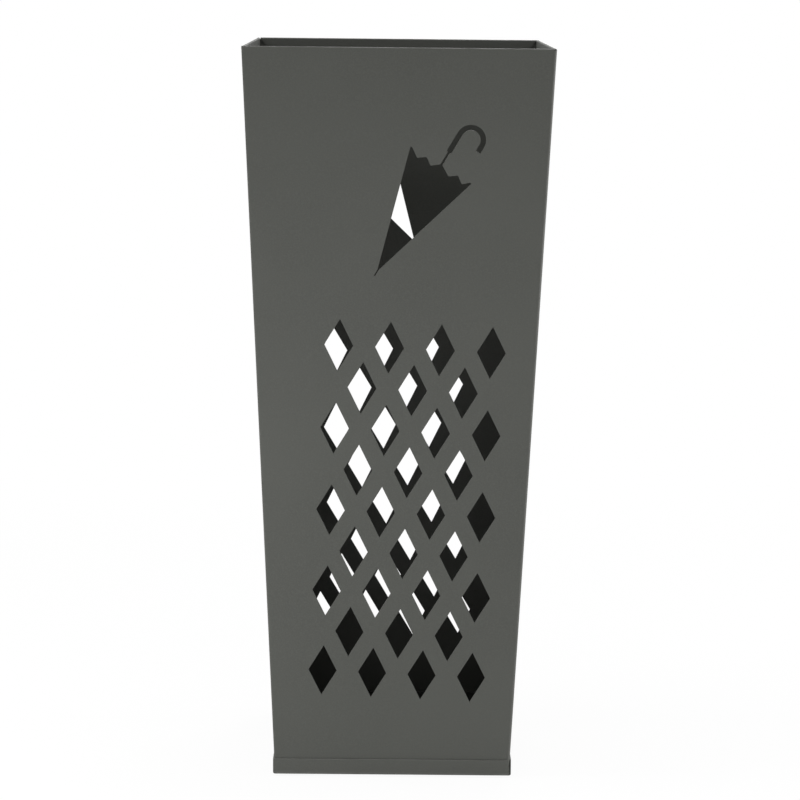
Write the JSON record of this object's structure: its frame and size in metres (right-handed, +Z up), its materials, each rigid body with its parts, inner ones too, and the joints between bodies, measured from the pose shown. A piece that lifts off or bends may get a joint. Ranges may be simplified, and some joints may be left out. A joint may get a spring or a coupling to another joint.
{
  "type": "umbrella stand",
  "caption": "Tapered square sheet-metal umbrella stand with diamond lattice and umbrella-shaped cut-outs front and back, a folded rim, a base pan and a lift-out drip tray.",
  "frame": {"origin": "centre of the footprint, on the floor under the foot pads", "axes": "+Z up along the tube's axis; the pictured cut-out face looks along -Y; +X is the viewer's right"},
  "size_m": [0.202, 0.202, 0.492],
  "materials": {
    "powder_coat": "matt fine-texture powder coat, dark olive grey",
    "tray_plastic": "moulded dark grey polypropylene",
    "pad_rubber": "matt black rubber"
  },
  "bodies": {
    "stand": {"front_sheet": "powder_coat", "rear_sheet": "powder_coat", "base_pan": "powder_coat", "foot_pad_front_left": "pad_rubber", "foot_pad_front_right": "pad_rubber", "foot_pad_rear_left": "pad_rubber", "foot_pad_rear_right": "pad_rubber"},
    "tray": {"drip_tray": "tray_plastic"}
  },
  "joints": [
    {"name": "tray_lift", "type": "slide", "parent": "stand", "child": "tray", "axis": [0, 0, 1], "range_m": [0, 0.5]}
  ]
}
